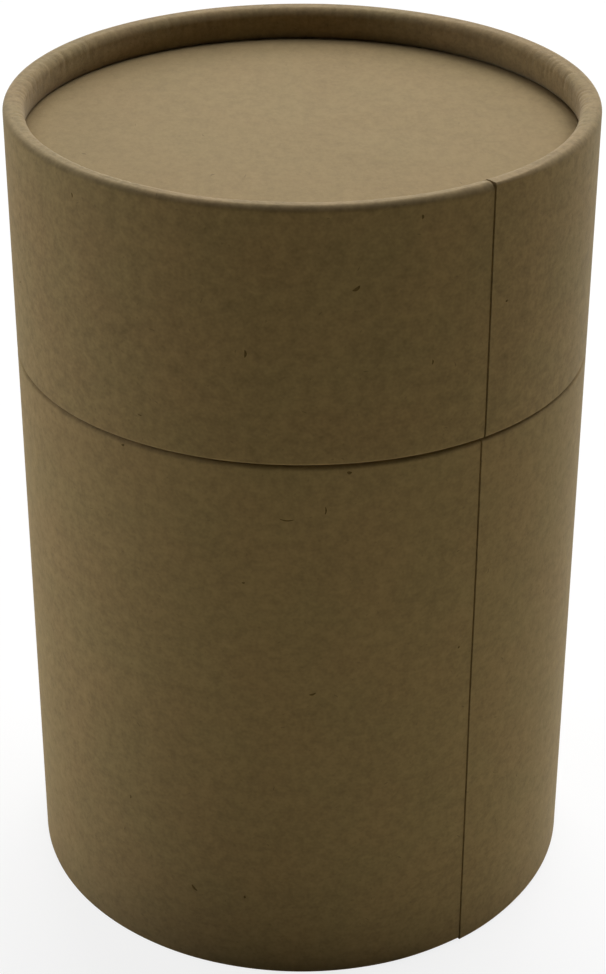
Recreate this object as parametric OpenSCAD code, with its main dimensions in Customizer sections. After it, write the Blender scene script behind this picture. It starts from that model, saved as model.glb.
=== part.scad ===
// Kraft paperboard tube container with a slip lid of the body's own diameter.
// Body and lid are wound tubes. One end of each is rolled inwards and holds a recessed disc.
// A neck tube, glued into the body, stands above the shoulder, and the lid slips over it.
// The foot rests on z = 0, the axis of the tube is Z, and the front faces -Y.

/* [Container] */
// Outer diameter of the body and the lid
outer_d = 100; // [80:1:160]
// Height of the body, from the foot to the joint with the lid
body_h = 104; // [60:1:240]
// Height of the lid, from the joint to the top of its rim
lid_h = 44; // [38:1:90]

/* [Board] */
// Wall of the wound body tube
body_wall = 1.9; // [1.7:0.1:2.6]
// Wall of the neck tube
neck_wall = 1.5; // [1:0.1:2.5]
// Thickness of the two end discs
disc_t = 1.8; // [1:0.1:3]

/* [Neck and fits] */
// Height of the neck above the joint
neck_rise = 26; // [10:1:28]
// Radial clearance between the neck and the bore of the lid
lid_clearance = 0.3; // [0.2:0.05:0.4]
// Glue line around a piece that is glued into a tube
glue_line = 0.05; // [0.04:0.01:0.1]

/* [Rolled rims] */
// Depth of the recess inside a rolled rim, from the rim to the disc
rim_depth = 5.6; // [4:0.1:8]
// Gap that the fold leaves between the wall and its turned-in edge
fold_gap = 0.2; // [0.1:0.05:0.4]
// Diameter of the eye at the bend of the fold
fold_eye_d = 0.6; // [0.5:0.1:0.8]
// Radius of the rim's outer corner
rim_outer_r = 1.1; // [0.6:0.1:1.3]
// Radius of the rim's inner corner
rim_inner_r = 1.7; // [0.6:0.1:1.8]
// Radius under the bead, where the turned-in edge curls away from the disc
lip_r = 1.4; // [0.4:0.1:1.5]
// Fall of a disc's free face at its edge, where the rolled rim presses on it
edge_dip = 0.8; // [0.3:0.1:1]
// Width of the stretch of the free face that falls
edge_dip_w = 5.6; // [4:0.1:8]

/* [Cut edges] */
// Rounding of the body's outer edge at the joint
body_edge_r = 0.85; // [0.2:0.05:1]
// Rounding of the lid's outer edge at the joint
lid_edge_r = 0.45; // [0.2:0.05:1]
// Rounding of the inner edges at the joint
mouth_r = 0.2; // [0.1:0.05:0.4]
// Rounding of the neck's upper edges
neck_edge_r = 0.4; // [0.2:0.05:0.45]

/* [Cover paper] */
// Thickness of the cover paper, and depth of its seam
paper_t = 0.35; // [0.1:0.05:0.4]
// Gap between the two edges of the cover paper
seam_gap = 0.45; // [0.2:0.05:0.6]
// Place of the lid's seam, in degrees to the right of the front
lid_seam = 36.3; // [-180:0.1:180]
// Place of the body's seam, in degrees to the right of the front
body_seam = 35.5; // [-180:0.1:180]

/* [Hidden] */

// Cuts reach this far past the surface that they open
over = 1;

// Radii that fit in each other, from the outside to the inside
outer_r = outer_d / 2;
body_bore_r = outer_r - body_wall;
neck_r = body_bore_r - glue_line;
lid_bore_r = neck_r + lid_clearance;
lid_wall = outer_r - lid_bore_r;

// Heights, from the foot to the rim of the lid
base_disc_z = rim_depth;
neck_foot_z = base_disc_z + disc_t;
neck_top_z = body_h + neck_rise;
rim_top_z = body_h + lid_h;
lid_disc_z = rim_top_z - rim_depth - disc_t;

kraft_cover = "#9b8a69";
kraft_board = "#a08c66";

// Facets of a full turn, of a small round in a section and of the flat arc along a disc's edge
$fn = 72;
round_fn = 24;
dip_fn = 180;

// A rolled rim is the wall, the gap in its fold and the wall again
function rim_w(wall) = 2 * wall + fold_gap;

// Radius of the arc by which a disc's free face falls, and the fall at a distance from where it starts
dip_r = (edge_dip_w * edge_dip_w + edge_dip * edge_dip) / (2 * edge_dip);
function fall_at(d) = dip_r - sqrt(dip_r * dip_r - d * d);

// Depth from the rim to the end of the turned-in edge, which is glued on the falling face of its disc
function lip_depth(wall) = rim_depth + fall_at(edge_dip_w + wall + glue_line + lip_r - rim_w(wall)) - glue_line;

// What rounding takes off a section's corner that lies at the origin, with the board below and to the left of it
module corner_cut(r) {
    difference() {
        translate([-r, -r]) square(r + over);
        translate([-r, -r]) circle(r, $fn = round_fn);
    }
}

// Half section of a tube from its mouth at y = 0 to the rolled rim at y = h
module rolled_section(h, wall, edge_r) {
    rim_r = outer_r - rim_w(wall);
    lip_y = h - lip_depth(wall);
    difference() {
        union() {
            translate([outer_r - wall, 0]) square([wall, h]);
            translate([rim_r, lip_y]) square([rim_w(wall), h - lip_y]);
        }
        fold(h, wall);
        translate([outer_r, h]) corner_cut(rim_outer_r);
        translate([rim_r, h]) mirror([1, 0]) corner_cut(rim_inner_r);
        translate([rim_r, lip_y]) rotate(180) corner_cut(lip_r);
        translate([outer_r, 0]) mirror([0, 1]) corner_cut(edge_r);
        translate([outer_r - wall, 0]) rotate(180) corner_cut(mouth_r);
    }
}

// Gap between the wall and its turned-in edge, with the eye at the bend
module fold(h, wall) {
    slot_h = lip_depth(wall) + over - wall;
    translate([outer_r - wall - fold_gap, h - wall - slot_h]) square([fold_gap, slot_h]);
    translate([outer_r - wall - fold_gap / 2, h - wall]) circle(d = fold_eye_d, $fn = round_fn);
}

// Half section of the board that the cover paper lies on
module under_paper(h, wall) {
    paper_r = outer_r - paper_t;
    lip_face_r = outer_r - rim_w(wall) + paper_t;
    difference() {
        translate([lip_face_r, -2 * over]) square([paper_r - lip_face_r, h - paper_t + 2 * over]);
        translate([paper_r, h - paper_t]) corner_cut(rim_outer_r - paper_t);
        translate([lip_face_r, h - paper_t]) mirror([1, 0]) corner_cut(rim_inner_r - paper_t);
    }
}

// Butt seam of the cover paper, from the mouth up the wall and over the rolled rim
module seam_groove(h, wall, seam) {
    inner_r = outer_r - rim_w(wall) - over;
    rotate([0, 0, seam - 90]) intersection() {
        translate([inner_r, -seam_gap / 2, -over]) cube([outer_r - inner_r + over, seam_gap, h + 2 * over]);
        rotate_extrude() difference() {
            translate([inner_r - over, -2 * over]) square([outer_r - inner_r + 3 * over, h + 4 * over]);
            under_paper(h, wall);
        }
    }
}

// Wound tube with its mouth at z = 0 and its rolled rim at z = h
module rolled_tube(h, wall, edge_r, seam) {
    difference() {
        rotate_extrude() rolled_section(h, wall, edge_r);
        seam_groove(h, wall, seam);
    }
}

module body_tube() {
    color(kraft_cover) translate([0, 0, body_h]) mirror([0, 0, 1])
        rolled_tube(body_h, body_wall, body_edge_r, body_seam);
}

module lid_tube() {
    color(kraft_cover) translate([0, 0, body_h]) rolled_tube(lid_h, lid_wall, lid_edge_r, lid_seam);
}

// Board disc with its inner face at z = 0 and a free face that falls along its edge
module end_disc(r) {
    rotate_extrude() difference() {
        square([r, disc_t]);
        translate([r - edge_dip_w, disc_t]) difference() {
            translate([0, -edge_dip]) square([edge_dip_w + over, edge_dip + over]);
            translate([0, -dip_r]) circle(dip_r, $fn = dip_fn);
        }
    }
}

module base_disc() {
    color(kraft_board) translate([0, 0, neck_foot_z]) mirror([0, 0, 1]) end_disc(body_bore_r - glue_line);
}

module lid_disc() {
    color(kraft_cover) translate([0, 0, lid_disc_z]) end_disc(lid_bore_r - glue_line);
}

// Inner tube from the base disc to its rounded mouth inside the lid
module neck_tube() {
    neck_bore_r = neck_r - neck_wall;
    color(kraft_board) rotate_extrude() difference() {
        translate([neck_bore_r, neck_foot_z]) square([neck_wall, neck_top_z - neck_foot_z]);
        translate([neck_r, neck_top_z]) corner_cut(neck_edge_r);
        translate([neck_bore_r, neck_top_z]) mirror([1, 0]) corner_cut(neck_edge_r);
    }
}

body_tube();
base_disc();
neck_tube();
lid_tube();
lid_disc();
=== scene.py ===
"""Looks of a kraft paperboard tube container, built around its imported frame.

Sizes are in millimetres until a mesh is made. Places around the tube are degrees to the right of the front,
which faces -Y.
"""

import math

import bpy
import numpy as np
from mathutils import Matrix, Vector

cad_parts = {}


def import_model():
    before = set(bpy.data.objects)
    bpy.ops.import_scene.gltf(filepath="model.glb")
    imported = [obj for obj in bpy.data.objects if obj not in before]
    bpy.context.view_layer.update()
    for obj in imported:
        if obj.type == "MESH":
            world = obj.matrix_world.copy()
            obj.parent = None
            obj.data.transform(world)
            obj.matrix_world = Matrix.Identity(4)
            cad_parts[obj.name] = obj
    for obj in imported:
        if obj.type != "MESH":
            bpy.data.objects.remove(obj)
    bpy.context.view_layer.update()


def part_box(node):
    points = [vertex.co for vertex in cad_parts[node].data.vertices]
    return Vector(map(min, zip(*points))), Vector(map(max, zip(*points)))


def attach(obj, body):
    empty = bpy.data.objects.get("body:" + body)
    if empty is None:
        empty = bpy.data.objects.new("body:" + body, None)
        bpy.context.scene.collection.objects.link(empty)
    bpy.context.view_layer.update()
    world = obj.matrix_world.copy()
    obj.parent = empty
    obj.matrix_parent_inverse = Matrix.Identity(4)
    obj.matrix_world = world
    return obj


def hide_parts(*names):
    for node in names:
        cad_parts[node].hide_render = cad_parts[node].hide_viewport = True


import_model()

MM = 0.001
X, Z = 0, 2


def low(node, axis):
    """Lowest place of a CAD node along an axis, in millimetres."""
    return round(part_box(node)[0][axis] / MM, 2)


def high(node, axis):
    """Highest place of a CAD node along an axis, in millimetres."""
    return round(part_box(node)[1][axis] / MM, 2)


# Sizes that the frame gives
outer_r = high("body_tube", X)
turn = 2 * math.pi * outer_r
joint_z = high("body_tube", Z)
lid_h = high("lid_tube", Z) - joint_z
neck_r = high("neck_tube", X)
lid_disc_r = high("lid_disc", X)
base_disc_r = high("base_disc", X)
rim_depth = low("base_disc", Z)

# Fits and walls inside the board
GLUE_LINE = 0.05
NECK_WALL = 1.5
FOLD_GAP = 0.2
lid_wall = outer_r - lid_disc_r - GLUE_LINE
body_wall = outer_r - base_disc_r - GLUE_LINE

# Corners of a rolled rim, and the round under its bead, which is taller than it is wide
RIM_OUTER_R = 1.1
RIM_INNER_R = 1.7
LIP_R = 1.4
LIP_H = 3.4

# The roll is looser on the side away from the seam: by how much, and where it is loosest
LOOSE_ROLL = 0.7
LOOSE_FROM_SEAM = math.radians(135)

# The rim's outer corner is tighter just right of the seam, fuller just left of it and even further on
TIGHTER = 0.6
TIGHT_REACH = 18
FULLER = 0.2
FULL_REACH = 14

# Uneven curl of the rim and the creases across it: depth, waves around the tube and rows that share them
CURL = 0.12
CURL_WAVES = range(3, 17)
CURL_ROWS = 9
CREASE = 0.08
CREASE_WAVES = range(90, 230)
CREASE_ROWS = 7

# Roundings of the cut edges
MOUTH_R = 0.2
LID_EDGE_R = 0.45
BODY_EDGE_R = 0.85
NECK_EDGE_R = 0.4
DISC_EDGE_R = 0.2

# Joint of body and lid: the outer plies of each cut edge end a little short of the face that they rest on
LID_EDGE_GAP = 0.08
BODY_EDGE_GAP = 0.06
EDGE_GAP_DEPTH = 1.1
EDGE_GAP_UNEVEN = 0.35
EDGE_GAP_WAVES = range(2, 12)

# A disc's free face falls along its edge, where the rolled rim presses on it, and is a little hollow inside
EDGE_DIP = 0.8
EDGE_DIP_W = 5.6
DIP_R = (EDGE_DIP_W ** 2 + EDGE_DIP ** 2) / (2 * EDGE_DIP)
BOW = 0.06
BOW_WAVES = range(1, 6)
BOW_RIPPLE = 9.0
CENTRE_R = 2.0

# The paper map of a disc is shortened from front to back, so that its mottling runs that way
DISC_GRAIN = 0.62

# Cover paper and its butt seams
PAPER_T = 0.35
SEAM_GAP = 0.45
SEAM_EDGE = 0.03
LID_SEAM = 36.3
BODY_SEAM = 35.5
NECK_SEAM = 150.0

# The paper's edges lift beside a seam, and the seam drifts from a straight line, both in waves along it
LIFT = 0.05
LIFT_REACH = 0.35
LIFT_WAVES = (5.1, 13.7)
DRIFT = 0.06
DRIFT_REACH = 3.0
DRIFT_WAVES = (21.0, 7.3)

# Columns around a tube, a disc and beside a seam, rows along the walls, and the space between stretches
TUBE_COLUMNS = 840
DISC_COLUMNS = 180
BESIDE_SEAM = (0.0, 0.06, 0.15, 0.3, 0.5, 0.8)
NECK_ROWS = 20
WALL_ROW = 4
APART = 0.1

# Faces that meet more sharply than this stay sharp
SHARP = math.radians(50)

# Seeds of the uneven lines
LID_SEED = 3
BODY_SEED = 8
NECK_SEED = 5
TOP_SEED = 6
BASE_SEED = 2

# Material slots of a piece's faces
COVER, CUT, LINER = 0, 1, 2


# Smooth irregular lines

def ripple(angle, waves, seed):
    """Smooth uneven line around the tube, about -1 to 1, from seeded whole waves. The angle is in radians."""
    rng = np.random.default_rng(seed)
    total = np.zeros_like(angle)
    for wave in waves:
        total += rng.uniform(0.5, 1.0) * np.sin(wave * angle + rng.uniform(0, 2 * math.pi))
    return total / math.sqrt(len(waves))


def smooth_step(value):
    """Rises smoothly from 0 to 1 as value goes from 0 to 1."""
    t = np.clip(value, 0.0, 1.0)
    return t * t * (3 - 2 * t)


def softened(share, width):
    """Share of each point along a section, averaged over its neighbours."""
    return np.convolve(np.pad(share, width // 2, mode="edge"), np.ones(width) / width, mode="valid")


# Half sections: a stretch is r and z along it, for one section or for every column

def line(r0, z0, r1, z1, steps):
    """Straight stretch of a section."""
    t = np.linspace(0.0, 1.0, steps)
    return r0 + (r1 - r0) * t, z0 + (z1 - z0) * t


def arc(centre_r, centre_z, radius, start, end, steps, height=None):
    """Round stretch of a section, from one angle in degrees to another, or a stretch of an ellipse."""
    angle = np.radians(np.linspace(start, end, steps))
    return centre_r + radius * np.cos(angle), centre_z + (height or radius) * np.sin(angle)


def join(stretches, columns):
    """One section for every column. Gives r, z and the number of the stretch that owns each point."""
    r_parts = []
    z_parts = []
    owner = []
    for number, (r, z) in enumerate(stretches):
        steps = np.shape(r)[-1]
        r_parts.append(np.broadcast_to(r, (columns, steps)))
        z_parts.append(np.broadcast_to(z, (columns, steps)))
        owner.append(np.full(steps, number))
    return np.concatenate(r_parts, 1), np.concatenate(z_parts, 1), np.concatenate(owner)


def push(r, z, amount):
    """Moves the points of a closed section out of the board, along the section's own normal."""
    dr = np.roll(r, -1, 1) - np.roll(r, 1, 1)
    dz = np.roll(z, -1, 1) - np.roll(z, 1, 1)
    size = np.maximum(np.hypot(dr, dz), 1e-9)
    return r + amount * dz / size, z - amount * dr / size


def fall(r, disc_r):
    """Fall of a disc's free face at a radius, by an arc that starts level."""
    d = np.clip(r - disc_r + EDGE_DIP_W, 0.0, EDGE_DIP_W)
    return DIP_R - np.sqrt(DIP_R ** 2 - d ** 2)


# Seams of the cover paper

def seam_columns():
    """Places around a tube, in millimetres to the right of its seam's middle, closest beside the seam."""
    half = SEAM_GAP / 2
    near = np.concatenate([[0.0, half - SEAM_EDGE], half + np.array(BESIDE_SEAM)])
    middle = np.linspace(near[-1], turn - near[-1], TUBE_COLUMNS)[1:-1]
    return np.concatenate([near, middle, turn - near[:0:-1]])


def from_seam(place):
    """Distance from the seam to the right, below zero on its left, one row for each column."""
    return np.where(place > turn / 2, place - turn, place)[:, None]


def groove(r, z, place, paper, seed):
    """Opens the butt seam in the cover paper, and lifts the two edges of the paper a little."""
    s = np.abs(from_seam(place))
    half = SEAM_GAP / 2
    first, second = LIFT_WAVES
    uneven = 0.5 + 0.5 * np.sin(z / first + seed) * np.sin(z / second + 2.0 * seed)
    lift = LIFT * np.exp(-np.maximum(s - half, 0.0) / LIFT_REACH) * uneven
    depth = np.where(s < half - SEAM_EDGE / 2, -PAPER_T, lift)
    return push(r, z, np.where(paper, depth, 0.0))


def wander(place, z, seed):
    """Sideways drift of the seam from a straight line, in millimetres."""
    first, second = DRIFT_WAVES
    drift = DRIFT * (np.sin(z / first + seed) + 0.5 * np.sin(z / second + 2.1 * seed))
    return drift * np.exp(-((from_seam(place) / DRIFT_REACH) ** 2))


# Mesh making

def new_object(name, verts, faces, uv, slots, materials):
    """Links a smooth mesh object with its paper map in millimetres and one material for each face."""
    mesh = bpy.data.meshes.new(name)
    mesh.from_pydata((verts * MM).tolist(), [], faces)
    for material in materials:
        mesh.materials.append(material)
    mesh.polygons.foreach_set("material_index", np.asarray(slots, np.int32))
    mesh.polygons.foreach_set("use_smooth", np.ones(len(faces), bool))
    mesh.uv_layers.new(name="paper").uv.foreach_set("vector", uv.astype(np.float32).ravel())
    mesh.set_sharp_from_angle(angle=SHARP)
    piece = bpy.data.objects.new(name, mesh)
    bpy.context.scene.collection.objects.link(piece)
    return piece


def revolved(name, place, seam, r, z, drift, slots, materials):
    """Closed mesh from the section of every column. The paper map is the unrolled wall, cut at the seam."""
    columns, points = r.shape
    angle = math.radians(seam) + (place[:, None] + drift) / outer_r
    verts = np.stack([r * np.sin(angle), -r * np.cos(angle), z], -1).reshape(-1, 3)
    column, point = np.meshgrid(np.arange(columns), np.arange(points), indexing="ij")
    corners = [(column, point), (column + 1, point), (column + 1, point + 1), (column, point + 1)]
    faces = np.stack([c % columns * points + p % points for c, p in corners], -1).reshape(-1, 4)
    step_r = np.diff(r, axis=1, append=r[:, :1])
    step_z = np.diff(z, axis=1, append=z[:, :1])
    along = np.concatenate([[0.0], np.cumsum(np.hypot(step_r, step_z).mean(0))])
    around = np.append(place, turn)
    uv = np.stack([np.stack([around[c], along[p]], -1) for c, p in corners], -2).reshape(-1, 2)
    return new_object(name, verts, faces.tolist(), uv, np.tile(slots, columns), materials)


# Pieces

def rolled_tube(h, wall, edge_gap, edge_r, seed):
    """Section of a wound tube for every column, from its mouth at 0 to its rolled rim at h.

    Its seam is at place 0. Gives the columns' places, r, z, the seam's drift and each row's material slot.
    """
    place = seam_columns()
    s = from_seam(place)
    angle = place[:, None] / outer_r
    bore_r = outer_r - wall
    fold_r = bore_r - FOLD_GAP - LOOSE_ROLL * (0.5 + 0.5 * np.cos(angle - LOOSE_FROM_SEAM)) ** 2
    inner_r = fold_r - wall
    lip_z = h - rim_depth - fall(inner_r + LIP_R, bore_r - GLUE_LINE) + GLUE_LINE
    tight = TIGHTER * (1 - smooth_step(s / TIGHT_REACH))
    full = FULLER * (1 - smooth_step(-s / FULL_REACH))
    corner = RIM_OUTER_R + np.where(s > 0, -tight, full)
    gap = edge_gap * (1 + EDGE_GAP_UNEVEN * ripple(angle, EDGE_GAP_WAVES, seed + 3))
    gap_r = outer_r - EDGE_GAP_DEPTH
    wall_rows = int(h / WALL_ROW)
    # Each stretch with its material slot, and its share of the uneven curl and of the creases
    stretches = [
        (arc(outer_r - edge_r, gap + edge_r, edge_r, -90, 0, 9), COVER, 0, 0),
        (line(outer_r, gap + edge_r + 2 * APART, outer_r, h - corner - APART, wall_rows), COVER, 0, 0),
        (arc(outer_r - corner, h - corner, corner, 0, 90, 10), COVER, 0.2, 0),
        (line(outer_r - corner - APART, h, inner_r + RIM_INNER_R + APART, h, 4), COVER, 0.6, 0),
        (arc(inner_r + RIM_INNER_R, h - RIM_INNER_R, RIM_INNER_R, 90, 180, 12), COVER, 1, 1),
        (line(inner_r, h - RIM_INNER_R - 2 * APART, inner_r, lip_z + LIP_H + APART, 4), COVER, 1, 1),
        (arc(inner_r + LIP_R, lip_z + LIP_H, LIP_R, 180, 270, 8, LIP_H), COVER, 0.4, 0),
        (line(inner_r + LIP_R + APART, lip_z, fold_r, lip_z, 3), CUT, 0, 0),
        (line(fold_r, lip_z + 2 * APART, fold_r, h - wall, 4), LINER, 0, 0),
        (line(bore_r, h - wall, bore_r, MOUTH_R + APART, 12), LINER, 0, 0),
        (arc(bore_r + MOUTH_R, MOUTH_R, MOUTH_R, 180, 270, 5), LINER, 0, 0),
        (line(bore_r + MOUTH_R + APART, 0.0, gap_r, 0.0, 3), CUT, 0, 0),
        (line(gap_r + APART / 2, gap, outer_r - edge_r - APART / 2, gap, 3), CUT, 0, 0),
    ]
    outline, slot_of, curl_of, crease_of = zip(*stretches)
    r, z, owner = join(outline, len(place))
    slots = np.array(slot_of)[owner]
    curl = CURL * np.clip(0.5 + 0.5 * ripple(angle, CURL_WAVES, seed), 0, 1)
    crease = CREASE * np.clip(ripple(angle, CREASE_WAVES, seed + 1), 0, 1.5)
    inward = curl * softened(np.array(curl_of)[owner], CURL_ROWS)
    inward = inward + crease * softened(np.array(crease_of)[owner], CREASE_ROWS)
    r, z = push(r, z, -inward)
    r, z = groove(r, z, place, slots == COVER, seed)
    return place, r, z, wander(place, z, seed), slots


def lid_shell(materials):
    """The lid's wound tube, with its rolled rim at the top."""
    place, r, z, drift, slots = rolled_tube(lid_h, lid_wall, LID_EDGE_GAP, LID_EDGE_R, LID_SEED)
    return revolved("lid_shell", place, LID_SEAM, r, joint_z + z, drift, slots, materials)


def body_shell(materials):
    """The body's wound tube, rolled at the foot. Its rows run backwards, so that its faces look out."""
    place, r, z, drift, slots = rolled_tube(joint_z, body_wall, BODY_EDGE_GAP, BODY_EDGE_R, BODY_SEED)
    back = slice(None, None, -1)
    r, z, drift = r[:, back], joint_z - z[:, back], drift[:, back]
    slots = np.roll(slots[back], -1)
    return revolved("body_shell", place, BODY_SEAM, r, z, drift, slots, materials)


def neck_sleeve(materials):
    """The inner tube, from the base disc to its rounded mouth."""
    place = seam_columns()
    foot_z = low("neck_tube", Z)
    top_z = high("neck_tube", Z)
    bore_r = neck_r - NECK_WALL
    edge = NECK_EDGE_R
    stretches = [
        (line(neck_r, foot_z, neck_r, top_z - edge - 2 * APART, NECK_ROWS), COVER),
        (arc(neck_r - edge, top_z - edge, edge, 0, 90, 7), CUT),
        (line(neck_r - edge - APART, top_z, bore_r + edge + APART, top_z, 4), CUT),
        (arc(bore_r + edge, top_z - edge, edge, 90, 180, 7), CUT),
        (line(bore_r, top_z - edge - 2 * APART, bore_r, foot_z, NECK_ROWS), LINER),
    ]
    outline, slot_of = zip(*stretches)
    r, z, owner = join(outline, len(place))
    slots = np.array(slot_of)[owner]
    r, z = groove(r, z, place, slots == COVER, NECK_SEED)
    drift = wander(place, z, NECK_SEED)
    return revolved("neck_sleeve", place, NECK_SEAM, r, z, drift, slots, materials)


def panel(name, node, up, seed, materials):
    """Board disc behind a rolled rim. Its free face looks up or down (1 or -1) and falls along its edge."""
    radius = high(node, X)
    thick = high(node, Z) - low(node, Z)
    inner_z = low(node, Z) if up > 0 else high(node, Z)
    edge = DISC_EDGE_R
    level_r = radius - EDGE_DIP_W
    level = np.linspace(CENTRE_R, level_r, 18)
    falling = np.linspace(level_r + 4 * APART, radius - edge - APART / 2, 13)
    rings = np.append(level, falling)[::-1]
    stretches = [
        (line(CENTRE_R, 0.0, radius - edge - APART, 0.0, 8), LINER),
        (arc(radius - edge, edge, edge, -90, 0, 5), CUT),
        (arc(radius - edge, thick - EDGE_DIP - edge, edge, 0, 90, 5), CUT),
        ((rings, thick - fall(rings, radius)), COVER),
    ]
    outline, slot_of = zip(*stretches)
    r, t, owner = join(outline, DISC_COLUMNS)
    row_slots = np.array(slot_of)[owner]
    columns, points = r.shape
    angle = np.linspace(0.0, 2 * math.pi, columns, endpoint=False)[:, None]
    # The free face isn't quite flat away from the rim that holds it
    free = np.clip(1.0 - (r / level_r) ** 2, 0.0, 1.0)
    hollow = BOW * free * (1 + ripple(angle, BOW_WAVES, seed) * np.sin(r / BOW_RIPPLE + seed))
    t = t - np.where(row_slots == COVER, hollow, 0.0)
    verts = np.stack([r * np.sin(angle), -r * np.cos(angle), inner_z + up * t], -1).reshape(-1, 3)
    centres = [[0.0, 0.0, inner_z], [0.0, 0.0, inner_z + up * (thick - BOW)]]
    verts = np.concatenate([verts, centres])
    inner_centre = columns * points
    free_centre = inner_centre + 1
    faces = []
    slots = []
    for this in range(columns):
        near = this * points + np.arange(points)
        far = (this + 1) % columns * points + np.arange(points)
        faces += np.stack([near[:-1], far[:-1], far[1:], near[1:]], -1).tolist()
        slots += row_slots[:-1].tolist()
        faces += [[inner_centre, far[0], near[0]], [free_centre, near[-1], far[-1]]]
        slots += [LINER, COVER]
    faces = [face[::up] for face in faces]
    uv = np.concatenate([verts[face, :2] * (1.0, DISC_GRAIN) for face in faces])
    return new_object(name, verts, faces, uv, slots, materials)


# Flecks of dark fibre in the cover paper: degrees right of the front, height, length, width and tilt

LID_FLECKS = [
    (9.6, 134.4, 1.5, 0.58, 35),
    (40.2, 127.4, 0.55, 0.42, 10),
    (24.2, 120.3, 0.9, 0.32, 86),
    (-10.0, 123.4, 1.4, 0.44, 88),
    (-31.1, 109.4, 0.8, 0.2, -5),
    (21.4, 145.1, 0.8, 0.36, 92),
    (-45.6, 143.8, 0.9, 0.32, 100),
    (-70.0, 121.0, 0.6, 0.25, 35),
    (112.0, 131.0, 1.2, 0.35, 12),
    (171.0, 118.0, 0.8, 0.3, -32),
    (-128.0, 127.0, 0.9, 0.3, 20),
]
BODY_FLECKS = [
    (8.7, 102.6, 0.85, 0.6, -10),
    (-35.3, 102.9, 0.7, 0.42, 20),
    (-2.7, 94.1, 2.5, 0.26, -2),
    (4.5, 95.9, 1.5, 0.28, 88),
    (-10.9, 81.9, 0.55, 0.34, 5),
    (2.2, 60.6, 1.3, 0.42, 20),
    (32.2, 65.1, 0.5, 0.36, 80),
    (-22.3, 16.6, 1.6, 0.5, -48),
    (-11.4, 16.8, 0.6, 0.45, 90),
    (-37.0, 31.9, 0.8, 0.3, 85),
    (98.0, 71.0, 1.1, 0.4, -10),
    (150.0, 38.0, 0.7, 0.4, 25),
    (-160.0, 84.0, 0.9, 0.4, 8),
    (-95.0, 52.0, 0.8, 0.3, -22),
]

# A fleck's rise above the paper, how far its edges sink, its bend as a share of its length, and its stations
FLECK_T = 0.03
FLECK_SINK = 0.004
FLECK_BEND = 0.12
FLECK_STATIONS = 9


def flecks(name, places, material):
    """Slivers of fibre pressed into the wall, thickest in the middle and sunk at their edges."""
    verts = []
    faces = []
    for degrees, height, length, width, tilt in places:
        first = len(verts)
        lean = math.radians(tilt)
        for t in np.linspace(-1.0, 1.0, FLECK_STATIONS):
            half = width / 2 * max(1 - t * t, 0.0) ** 0.7
            along = length / 2 * t
            bend = FLECK_BEND * length * t * t
            ring = [(-half, -FLECK_SINK), (0.0, FLECK_T), (half, -FLECK_SINK), (0.0, -2 * FLECK_T)]
            for side, rise in ring:
                across = side + bend
                around = along * math.cos(lean) - across * math.sin(lean)
                up = along * math.sin(lean) + across * math.cos(lean)
                angle = math.radians(degrees) + around / outer_r
                r = outer_r + rise
                verts.append([r * math.sin(angle), -r * math.cos(angle), height + up])
        for station in range(FLECK_STATIONS - 1):
            for k in range(4):
                a = first + 4 * station + k
                b = first + 4 * station + (k + 1) % 4
                faces.append([a, a + 4, b + 4, b])
    uv = np.concatenate([np.array(verts)[face][:, [0, 2]] for face in faces])
    return new_object(name, np.array(verts), faces, uv, np.zeros(len(faces)), [material])


# Node helpers

def wire(tree, socket, value):
    """Links a socket to another, or sets its value."""
    if isinstance(value, bpy.types.NodeSocket):
        tree.links.new(value, socket)
    else:
        socket.default_value = value


def add(tree, kind, inputs, output=0, **settings):
    """Adds a node with its settings and inputs, and gives one of its outputs."""
    node = tree.nodes.new(kind)
    for key, value in settings.items():
        setattr(node, key, value)
    for key, value in inputs.items():
        wire(tree, node.inputs[key], value)
    return node.outputs[output]


def math_of(tree, operation, first, second=0.0):
    """One calculation on one number or two."""
    return add(tree, "ShaderNodeMath", {0: first, 1: second}, operation=operation)


def vector_of(tree, operation, first, second):
    """One calculation on two vectors."""
    return add(tree, "ShaderNodeVectorMath", {0: first, 1: second}, operation=operation)


def length_of(tree, vector):
    """Length of a vector."""
    return add(tree, "ShaderNodeVectorMath", {0: vector}, output=1, operation="LENGTH")


def turned(tree, vector, angle):
    """Vector turned about its third axis."""
    return add(tree, "ShaderNodeVectorRotate", {"Vector": vector, "Angle": angle}, rotation_type="Z_AXIS")


def scaled(tree, vector, x, y):
    """Paper coordinates times a factor each way."""
    return vector_of(tree, "MULTIPLY", vector, (x, y, 1.0))


def noise(tree, vector, detail, roughness=0.5, distortion=0.0, scale=1.0, output=0):
    """Flat noise of about 0 to 1, or a colour of such noise as output 1."""
    inputs = {"Vector": vector, "Scale": scale, "Detail": detail}
    inputs.update({"Roughness": roughness, "Distortion": distortion})
    return add(tree, "ShaderNodeTexNoise", inputs, output=output, noise_dimensions="2D")


def spread(tree, value, from_low, from_high, to_low, to_high):
    """Value moved from one range to another and held there."""
    inputs = {"Value": value, "From Min": from_low, "From Max": from_high}
    inputs.update({"To Min": to_low, "To Max": to_high})
    return add(tree, "ShaderNodeMapRange", inputs)


def swing(tree, value, weight):
    """Value of 0 to 1 as a swing about zero."""
    return math_of(tree, "MULTIPLY", math_of(tree, "SUBTRACT", value, 0.5), weight)


def off_middle(tree, value):
    """How far a value of 0 to 1 is from its middle."""
    return math_of(tree, "ABSOLUTE", math_of(tree, "SUBTRACT", value, 0.5))


def blended(tree, share, first, second, blend="MIX"):
    """Mix of two colours."""
    inputs = {0: share, 6: first, 7: second}
    return add(tree, "ShaderNodeMix", inputs, output=2, data_type="RGBA", blend_type=blend)


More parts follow.
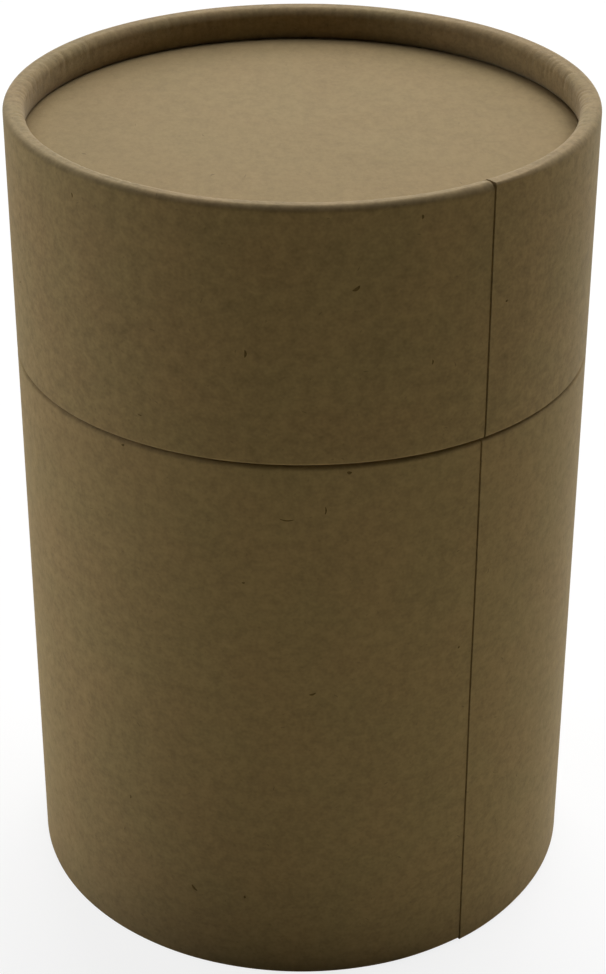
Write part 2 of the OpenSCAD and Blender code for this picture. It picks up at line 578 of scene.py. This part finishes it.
def strands(tree, paper, degrees, length, width):
    """Thin wavy fibres that run one way, 1 on a fibre and 0 beside it."""
    grain = turned(tree, paper, math.radians(degrees))
    field = noise(tree, scaled(tree, grain, 1 / length, 1 / width), detail=2.0, distortion=0.4)
    return spread(tree, off_middle(tree, field), 0.0, 0.045, 1.0, 0.0)


def specks(tree, paper, cell, length, width, share):
    """Short dashes, each turned its own way, in a share of the cells. 1 on a dash and 0 beside it."""
    bent = noise(tree, paper, detail=2.0, scale=0.9 / length, output=1)
    shift = vector_of(tree, "SUBTRACT", bent, (0.5, 0.5, 0.5))
    shift = add(tree, "ShaderNodeVectorMath", {0: shift, "Scale": 0.5 * length}, operation="SCALE")
    place = vector_of(tree, "ADD", paper, shift)
    inputs = {"Vector": place, "Scale": 1 / cell, "Randomness": 0.75}
    cells = add(tree, "ShaderNodeTexVoronoi", inputs, voronoi_dimensions="2D").node.outputs
    dice = add(tree, "ShaderNodeSeparateColor", {0: cells["Color"]}).node.outputs
    centre = vector_of(tree, "SUBTRACT", place, cells["Position"])
    dash = turned(tree, centre, math_of(tree, "MULTIPLY", dice[0], math.pi))
    size = spread(tree, dice[1], 0.0, 1.0, 0.45, 1.0)
    far = length_of(tree, scaled(tree, dash, 2 / length, 2 / width))
    inside = spread(tree, math_of(tree, "DIVIDE", far, size), 0.75, 1.1, 1.0, 0.0)
    chosen = math_of(tree, "LESS_THAN", dice[2], share)
    return math_of(tree, "MULTIPLY", inside, chosen)


# Materials

KRAFT = (0.312, 0.231, 0.119)
BOARD = (0.36, 0.28, 0.17)
SHIVE = (0.115, 0.076, 0.028)
RUDDY = (1.02, 0.992, 0.985, 1.0)
OLIVE = (0.985, 1.005, 0.99, 1.0)

# How often a feature of the paper repeats in a millimetre, around the tube and along it
CLOUDS = (0.11, 0.13)
PULP = (0.46, 0.49)
WARMTH = (0.07, 0.08)
FINE = (1.8, 2.2)

# Fibres that run three ways: degrees, length and width
FIBRES = [(6, 5.0, 0.55), (-38, 3.6, 0.5), (71, 3.0, 0.5)]

# How strongly pulp, clouds and fibres show in the paper's tone, and the reach of the tone to each side
PULP_TONE = 0.7
CLOUD_TONE = 0.22
FIBRE_TONE = 0.012
TONE_REACH = 0.4

# Thickness of a ply in a cut edge
PLY_T = 0.31


def shade(colour, factor):
    """Colour times a factor."""
    return tuple(channel * factor for channel in colour)


def toned(colour, factor):
    """Colour times a factor, with full alpha."""
    return shade(colour, factor) + (1.0,)


def new_material(name):
    """Material with nothing but a principled shader. Gives the material, its tree and the shader's inputs."""
    material = bpy.data.materials.new(name)
    material.use_nodes = True
    tree = material.node_tree
    tree.nodes.clear()
    shader = tree.nodes.new("ShaderNodeBsdfPrincipled")
    output = tree.nodes.new("ShaderNodeOutputMaterial")
    tree.links.new(shader.outputs[0], output.inputs[0])
    return material, tree, shader.inputs


def bumped(tree, height, strength, depth):
    """Normal of a surface with a fine relief of a depth in millimetres."""
    inputs = {"Height": height, "Strength": strength, "Distance": depth * MM}
    return add(tree, "ShaderNodeBump", inputs)


def kraft_paper(name, colour, grain=1.0, dark=1.0, fuzz=0.0):
    """Uncoated kraft paper: cloudy pulp, fibres along the grain, dark and pale specks and a fuzzy surface."""
    material, tree, shader = new_material(name)
    paper = add(tree, "ShaderNodeUVMap", {}, uv_map="paper")
    clouds = noise(tree, scaled(tree, paper, *CLOUDS), detail=2.0, roughness=0.6)
    pulp = noise(tree, scaled(tree, paper, *PULP), detail=2.0, roughness=0.85)
    warmth = noise(tree, scaled(tree, paper, *WARMTH), detail=2.0)
    fine = noise(tree, scaled(tree, paper, *FINE), detail=4.0, roughness=0.7)
    fibres = 0.0
    for degrees, length, width in FIBRES:
        fibres = math_of(tree, "ADD", fibres, strands(tree, paper, degrees, length, width))
    pale = specks(tree, paper, cell=4.5, length=1.2, width=0.2, share=0.25)
    shives = specks(tree, paper, cell=6.0, length=1.0, width=0.2, share=0.2 * dark)
    dots = specks(tree, paper, cell=2.4, length=0.55, width=0.3, share=0.3 * dark)
    # Tone from the large clouds down to the single fibres
    tone = math_of(tree, "ADD", swing(tree, pulp, PULP_TONE * grain), swing(tree, clouds, CLOUD_TONE * grain))
    tone = math_of(tree, "ADD", tone, math_of(tree, "MULTIPLY", fibres, FIBRE_TONE * grain))
    share = spread(tree, tone, -TONE_REACH, TONE_REACH, 0.0, 1.0)
    base = blended(tree, share, toned(colour, 1 - TONE_REACH), toned(colour, 1 + TONE_REACH))
    tint = blended(tree, spread(tree, warmth, 0.3, 0.7, 0.0, 1.0), RUDDY, OLIVE)
    base = blended(tree, grain, base, tint, "MULTIPLY")
    # Spots on the paper: how strongly they show, and their tone
    spots = [(pale, 0.14 * grain, 1.7), (shives, 0.4, 0.25), (dots, 0.22 * grain, 0.3)]
    for where, strength, factor in spots:
        base = blended(tree, math_of(tree, "MULTIPLY", where, strength), base, toned(colour, factor))
    height = math_of(tree, "ADD", math_of(tree, "MULTIPLY", pulp, 1.6), fine)
    height = math_of(tree, "ADD", height, math_of(tree, "MULTIPLY", fibres, 0.25))
    wire(tree, shader["Base Color"], base)
    wire(tree, shader["Roughness"], spread(tree, fine, 0.2, 0.8, 0.82, 0.95))
    wire(tree, shader["Normal"], bumped(tree, height, strength=0.5, depth=0.03))
    shader["Specular IOR Level"].default_value = 0.12
    shader["Sheen Weight"].default_value = fuzz
    shader["Sheen Roughness"].default_value = 0.4
    return material


def cut_board(name, colour):
    """Cut edge of wound board: its plies as thin rings, with darker glue between them."""
    material, tree, shader = new_material(name)
    here = add(tree, "ShaderNodeTexCoord", {}, output="Object")
    flat = vector_of(tree, "MULTIPLY", here, (1 / MM, 1 / MM, 0.0))
    uneven = noise(tree, flat, detail=3.0, scale=0.8)
    fuzz = noise(tree, flat, detail=4.0, roughness=0.7, scale=6.0)
    plies = math_of(tree, "DIVIDE", length_of(tree, flat), PLY_T)
    plies = math_of(tree, "ADD", plies, math_of(tree, "MULTIPLY", uneven, 0.5))
    glue = spread(tree, off_middle(tree, math_of(tree, "FRACT", plies)), 0.3, 0.5, 0.0, 1.0)
    base = blended(tree, fuzz, toned(colour, 0.85), toned(colour, 1.2))
    base = blended(tree, math_of(tree, "MULTIPLY", glue, 0.45), base, toned(colour, 0.45))
    height = math_of(tree, "SUBTRACT", math_of(tree, "MULTIPLY", fuzz, 0.8), glue)
    wire(tree, shader["Base Color"], base)
    wire(tree, shader["Normal"], bumped(tree, height, strength=0.6, depth=0.05))
    shader["Roughness"].default_value = 0.95
    shader["Specular IOR Level"].default_value = 0.08
    return material


def fleck_fibre(name, colour):
    """Dark shive of bark or unbleached fibre, with fine streaks."""
    material, tree, shader = new_material(name)
    here = add(tree, "ShaderNodeTexCoord", {}, output="Object")
    streaks = add(tree, "ShaderNodeTexNoise", {"Vector": here, "Scale": 4 / MM, "Detail": 2.0})
    wire(tree, shader["Base Color"], blended(tree, streaks, toned(colour, 0.6), toned(colour, 1.6)))
    shader["Roughness"].default_value = 0.8
    shader["Specular IOR Level"].default_value = 0.15
    return material


# Stage, light and camera

WHITE = (1.0, 1.0, 1.0, 1.0)
BLACK = (0.0, 0.0, 0.0, 1.0)

# The floor in metres: a creamy white sheet around the container on a darker table, as it throws light back
FLOOR_SIZE = 8.0
FLOOR_DROP = 0.02 * MM
SHEET_R = 0.45
SHEET_EDGE = 0.25
SHEET_BOUNCE = (0.95, 0.885, 0.65, 1.0)
TABLE_BOUNCE = (0.6, 0.5, 0.3, 1.0)

# Share of the sheet's own look that takes the shadow, which fades out with the sheet
SHADOW_SHARE = 0.16


def seen_directly(tree):
    """1 for rays that show the background itself: from the camera, in gloss and through glass."""
    path = tree.nodes.new("ShaderNodeLightPath").outputs
    direct = math_of(tree, "MAXIMUM", path["Is Camera Ray"], path["Is Glossy Ray"])
    return math_of(tree, "MAXIMUM", direct, path["Is Transmission Ray"])


def floor_white():
    """White to look at, with a soft shadow on the sheet. It throws back light as sheet and table do."""
    material = bpy.data.materials.new("floor_white")
    material.use_nodes = True
    tree = material.node_tree
    tree.nodes.clear()
    here = add(tree, "ShaderNodeTexCoord", {}, output="Object")
    away = length_of(tree, here)
    beyond = spread(tree, away, SHEET_R - SHEET_EDGE, SHEET_R + SHEET_EDGE, 0.0, 1.0)
    shadow = spread(tree, beyond, 0.0, 1.0, SHADOW_SHARE, 0.0)
    colour = blended(tree, beyond, SHEET_BOUNCE, TABLE_BOUNCE)
    bounce = add(tree, "ShaderNodeBsdfDiffuse", {"Color": colour})
    lit = add(tree, "ShaderNodeBsdfDiffuse", {"Color": WHITE})
    glow = add(tree, "ShaderNodeEmission", {"Color": WHITE, "Strength": 1.0})
    shown = add(tree, "ShaderNodeMixShader", {0: shadow, 1: glow, 2: lit})
    surface = add(tree, "ShaderNodeMixShader", {0: seen_directly(tree), 1: bounce, 2: shown})
    output = tree.nodes.new("ShaderNodeOutputMaterial")
    tree.links.new(surface, output.inputs["Surface"])
    return material


def floor():
    """Wide floor just under the container."""
    half = FLOOR_SIZE / 2
    mesh = bpy.data.meshes.new("floor")
    corners = [(-half, -half), (half, -half), (half, half), (-half, half)]
    mesh.from_pydata([(x, y, -FLOOR_DROP) for x, y in corners], [], [(0, 1, 2, 3)])
    mesh.materials.append(floor_white())
    plane = bpy.data.objects.new("floor", mesh)
    bpy.context.scene.collection.objects.link(plane)


def world():
    """Surroundings that are white to look at and give no light."""
    surroundings = bpy.data.worlds.new("studio")
    bpy.context.scene.world = surroundings
    surroundings.use_nodes = True
    tree = surroundings.node_tree
    tree.nodes.clear()
    unlit = add(tree, "ShaderNodeBackground", {"Color": BLACK, "Strength": 1.0})
    white = add(tree, "ShaderNodeBackground", {"Color": WHITE, "Strength": 1.0})
    surface = add(tree, "ShaderNodeMixShader", {0: seen_directly(tree), 1: unlit, 2: white})
    output = tree.nodes.new("ShaderNodeOutputWorld")
    tree.links.new(surface, output.inputs["Surface"])


# Softboxes: name, degrees right of the front, degrees up, height of the box in metres and power in watts
SOFTBOXES = [
    ("back", 180, 23, 0.7, 7.0),
    ("back_high", 180, 41, 0.9, 8.0),
    ("right_high", 135, 55, 0.9, 7.3),
    ("top", 180, 84, 0.3, 1.8),
    ("back_right", 135, 14, 0.6, 3.8),
    ("left", -108, 14, 0.6, 6.6),
]

# Their distance from the point that they face, their width and the height of that point, in metres
SOFTBOX_AWAY = 1.3
SOFTBOX_WIDTH = 0.9
AIM_UP = 0.08


def softbox(name, degrees, up, height, power):
    """Neutral area lamp that faces the container and that the camera doesn't see."""
    lamp = bpy.data.lights.new(name, "AREA")
    lamp.shape = "RECTANGLE"
    lamp.size = SOFTBOX_WIDTH
    lamp.size_y = height
    lamp.energy = power
    holder = bpy.data.objects.new(name, lamp)
    bpy.context.scene.collection.objects.link(holder)
    around = Matrix.Rotation(math.radians(degrees), 4, "Z")
    raised = Matrix.Rotation(math.radians(90 - up), 4, "X")
    aim = Matrix.Translation((0.0, 0.0, AIM_UP))
    holder.matrix_world = aim @ around @ raised @ Matrix.Translation((0.0, 0.0, SOFTBOX_AWAY))
    holder.visible_camera = False


# The camera, from the photograph's outline: place in millimetres, turns in degrees and lens in pixels
CAMERA_BACK = 372.3
CAMERA_UP = 280.4
CAMERA_DOWN = 29.19
CAMERA_YAW = 0.04
CAMERA_ROLL = 0.13
FOCAL_PIXELS = 2325.5
IMAGE_HEIGHT = 974
SENSOR = 36.0


def camera():
    """Camera in front of the container, looking down on its lid."""
    lens = bpy.data.cameras.new("camera")
    lens.sensor_width = SENSOR
    lens.lens = FOCAL_PIXELS / IMAGE_HEIGHT * SENSOR
    holder = bpy.data.objects.new("camera", lens)
    bpy.context.scene.collection.objects.link(holder)
    pan = Matrix.Rotation(math.radians(-CAMERA_YAW), 4, "Z")
    tilt = Matrix.Rotation(math.radians(90 - CAMERA_DOWN), 4, "X")
    roll = Matrix.Rotation(math.radians(CAMERA_ROLL), 4, "Z")
    place = Matrix.Translation((0.0, -CAMERA_BACK * MM, CAMERA_UP * MM))
    holder.matrix_world = place @ pan @ tilt @ roll
    bpy.context.scene.camera = holder


def dress():
    """Makes every piece, puts it on its body and hides the CAD node that it stands for."""
    # Both covers are KRAFT. The body's is painted a little lighter and the lid's a little darker: painted
    # light and shade, as the floor throws more light on the body than on the lid and its rim
    body_cover = kraft_paper("kraft_body_cover", shade(KRAFT, 1.015), grain=0.8, fuzz=0.1)
    lid_cover = kraft_paper("kraft_lid_cover", shade(KRAFT, 0.96), grain=0.92, fuzz=0.1)
    top = kraft_paper("kraft_top", KRAFT, grain=0.42, dark=0.6)
    liner = kraft_paper("kraft_liner", shade(KRAFT, 1.05))
    board = cut_board("board_edge", BOARD)
    shive = fleck_fibre("shive", SHIVE)
    disc = [top, board, liner]
    pieces = [
        (body_shell([body_cover, board, liner]), "body", "body_tube", "kraft_cover"),
        (panel("base_panel", "base_disc", -1, BASE_SEED, disc), "body", "base_disc", "kraft_board"),
        (neck_sleeve([liner, board, liner]), "body", "neck_tube", "kraft_board"),
        (lid_shell([lid_cover, board, liner]), "lid", "lid_tube", "kraft_cover"),
        (panel("lid_panel", "lid_disc", 1, TOP_SEED, disc), "lid", "lid_disc", "kraft_cover"),
        (flecks("body_flecks", BODY_FLECKS, shive), "body", None, "kraft_cover"),
        (flecks("lid_flecks", LID_FLECKS, shive), "lid", None, "kraft_cover"),
    ]
    for piece, body, node, slot in pieces:
        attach(piece, body)
        if node:
            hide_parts(node)


dress()
floor()
world()
for box in SOFTBOXES:
    softbox(*box)
camera()
bpy.context.scene.view_settings.view_transform = "Standard"
